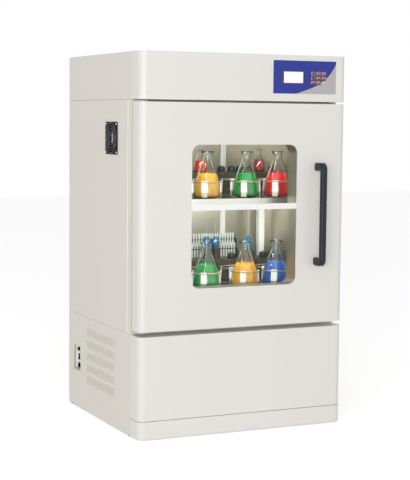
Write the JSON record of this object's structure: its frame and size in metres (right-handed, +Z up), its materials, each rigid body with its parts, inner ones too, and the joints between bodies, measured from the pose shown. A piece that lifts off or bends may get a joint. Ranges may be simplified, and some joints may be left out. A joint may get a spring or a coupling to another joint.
{
  "type": "upright incubator shaker",
  "caption": "Floor-standing two-tier incubator shaker: insulated chamber with glazed side-hung door, orbital carriage with flask clamps, panel above.",
  "frame": {"origin": "middle of the footprint on the floor, handle and side fan included", "axes": "+Z up, the door faces -Y, +X to the right of someone who faces the door"},
  "size_m": [0.8455, 0.81, 1.4],
  "materials": {
    "chassis_paint": "satin powder coat",
    "cover_paint": "off-white powder coat",
    "side_paint": "off-white powder coat",
    "liner_steel": "brushed stainless sheet",
    "foot_rubber": "matt",
    "foam": "rigid foam, stands in for polyurethane",
    "panel_film": "printed membrane film",
    "display": "clear window over a white display",
    "board": "solder resist",
    "fan_plastic": "moulded",
    "fan_hub": "moulded",
    "guard_wire": "black wire",
    "inlet_plastic": "moulded",
    "black_plastic": "moulded",
    "hinge_steel": "plain steel",
    "glass": "clear tempered glass",
    "bar_paint": "white powder coat",
    "gasket_rubber": "matt silicone",
    "handle_grip": "dark anodised",
    "shaft_steel": "ground steel",
    "cast_housing": "cast, machined faces",
    "motor_paint": "black paint",
    "belt_rubber": "matt",
    "carriage_alloy": "milled",
    "platform_steel": "brushed stainless sheet",
    "clamp_steel": "polished stainless strip",
    "fin_alloy": "rolled fins",
    "compressor_paint": "black enamel",
    "key_plastic": "moulded"
  },
  "bodies": {
    "cabinet": {"chassis_frame": "chassis_paint", "levelling_feet": "foot_rubber", "plinth_cover": "cover_paint", "lower_front_cover": "cover_paint", "lower_side_panels": "side_paint", "side_panels": "side_paint", "rear_panel": "side_paint", "front_frame": "side_paint", "chamber_liner": "liner_steel", "foam_insulation": "foam", "head_cover": "side_paint", "head_front_cover": "cover_paint", "control_panel": "panel_film", "display_window": "display", "circuit_board": "board", "side_fan_frame": "fan_plastic", "side_fan_guard": "guard_wire", "inlet_cup": "inlet_plastic", "inlet_socket": "black_plastic", "fuse_holder": "black_plastic", "hinge_brackets": "hinge_steel", "bearing_housings": "cast_housing", "drive_motor": "motor_paint", "drive_belt": "belt_rubber", "duct_panel": "liner_steel", "evaporator": "fin_alloy", "air_heater": "fin_alloy", "circulation_motor": "motor_paint", "compressor": "compressor_paint", "condenser": "fin_alloy"},
    "door": {"door_skin": "cover_paint", "door_liner": "liner_steel", "door_foam": "foam", "window_glass": "glass", "window_crossbar": "bar_paint", "door_gasket": "gasket_rubber", "door_handle": "handle_grip"},
    "main_crank": {"main_crank": "shaft_steel", "driven_pulley": "cast_housing"},
    "idler_left": {"idler_crank_left": "shaft_steel"},
    "idler_right": {"idler_crank_right": "shaft_steel"},
    "carriage": {"carriage_frame": "carriage_alloy", "lower_platform": "platform_steel", "upper_platform": "platform_steel", "platform_posts": "platform_steel", "flask_clamps": "clamp_steel", "clamp_springs": "clamp_steel"},
    "motor_rotor": {"motor_rotor": "shaft_steel"},
    "side_fan_impeller": {"side_fan_impeller": "fan_hub"},
    "circulation_impeller": {"circulation_impeller": "cast_housing"},
    "power_rocker": {"power_rocker": "black_plastic"},
    "key_1": {"key_1": "key_plastic"},
    "key_2": {"key_2": "key_plastic"},
    "key_3": {"key_3": "key_plastic"},
    "key_4": {"key_4": "key_plastic"},
    "key_5": {"key_5": "key_plastic"},
    "key_6": {"key_6": "key_plastic"},
    "key_7": {"key_7": "key_plastic"},
    "key_8": {"key_8": "key_plastic"},
    "key_9": {"key_9": "key_plastic"}
  },
  "joints": [
    {"name": "door_hinge", "type": "hinge", "parent": "cabinet", "child": "door", "pos_m": [-0.402, -0.315, 0.8085], "axis": [0, 0, -1], "range_deg": [0, 110]},
    {"name": "drive_shaft", "type": "hinge", "parent": "cabinet", "child": "main_crank", "pos_m": [0, -0.018, 0.35], "axis": [0, 0, 1], "continuous": true},
    {"name": "carriage_pivot", "type": "hinge", "parent": "main_crank", "child": "carriage", "pos_m": [0, -0.005, 0.5], "axis": [0, 0, 1], "continuous": true},
    {"name": "idler_left_shaft", "type": "hinge", "parent": "cabinet", "child": "idler_left", "pos_m": [-0.21, -0.018, 0.4], "axis": [0, 0, 1], "continuous": true},
    {"name": "idler_right_shaft", "type": "hinge", "parent": "cabinet", "child": "idler_right", "pos_m": [0.21, -0.018, 0.4], "axis": [0, 0, 1], "continuous": true},
    {"name": "motor_shaft", "type": "hinge", "parent": "cabinet", "child": "motor_rotor", "pos_m": [0, 0.218, 0.3], "axis": [0, 0, 1], "continuous": true},
    {"name": "side_fan_shaft", "type": "hinge", "parent": "cabinet", "child": "side_fan_impeller", "pos_m": [-0.41, -0.068, 1.087], "axis": [1, 0, 0], "continuous": true},
    {"name": "circulation_shaft", "type": "hinge", "parent": "cabinet", "child": "circulation_impeller", "pos_m": [0, 0.33, 0.908], "axis": [0, 1, 0], "continuous": true},
    {"name": "power_switch", "type": "hinge", "parent": "cabinet", "child": "power_rocker", "pos_m": [-0.405, 0.322, 0.201], "axis": [0, 1, 0], "range_deg": [-8, 8]},
    {"name": "key_1_press", "type": "slide", "parent": "cabinet", "child": "key_1", "axis": [0, 1, 0], "range_m": [0, 0.0008], "stiffness_N_per_m": 300},
    {"name": "key_2_press", "type": "slide", "parent": "cabinet", "child": "key_2", "axis": [0, 1, 0], "range_m": [0, 0.0008], "stiffness_N_per_m": 300},
    {"name": "key_3_press", "type": "slide", "parent": "cabinet", "child": "key_3", "axis": [0, 1, 0], "range_m": [0, 0.0008], "stiffness_N_per_m": 300},
    {"name": "key_4_press", "type": "slide", "parent": "cabinet", "child": "key_4", "axis": [0, 1, 0], "range_m": [0, 0.0008], "stiffness_N_per_m": 300},
    {"name": "key_5_press", "type": "slide", "parent": "cabinet", "child": "key_5", "axis": [0, 1, 0], "range_m": [0, 0.0008], "stiffness_N_per_m": 300},
    {"name": "key_6_press", "type": "slide", "parent": "cabinet", "child": "key_6", "axis": [0, 1, 0], "range_m": [0, 0.0008], "stiffness_N_per_m": 300},
    {"name": "key_7_press", "type": "slide", "parent": "cabinet", "child": "key_7", "axis": [0, 1, 0], "range_m": [0, 0.0008], "stiffness_N_per_m": 300},
    {"name": "key_8_press", "type": "slide", "parent": "cabinet", "child": "key_8", "axis": [0, 1, 0], "range_m": [0, 0.0008], "stiffness_N_per_m": 300},
    {"name": "key_9_press", "type": "slide", "parent": "cabinet", "child": "key_9", "axis": [0, 1, 0], "range_m": [0, 0.0008], "stiffness_N_per_m": 300}
  ],
  "couplings": [
    {"joint": "carriage_pivot", "follows": "drive_shaft", "ratio": -1},
    {"joint": "idler_left_shaft", "follows": "drive_shaft", "ratio": 1},
    {"joint": "idler_right_shaft", "follows": "drive_shaft", "ratio": 1},
    {"joint": "motor_shaft", "follows": "drive_shaft", "ratio": 3.0667}
  ]
}
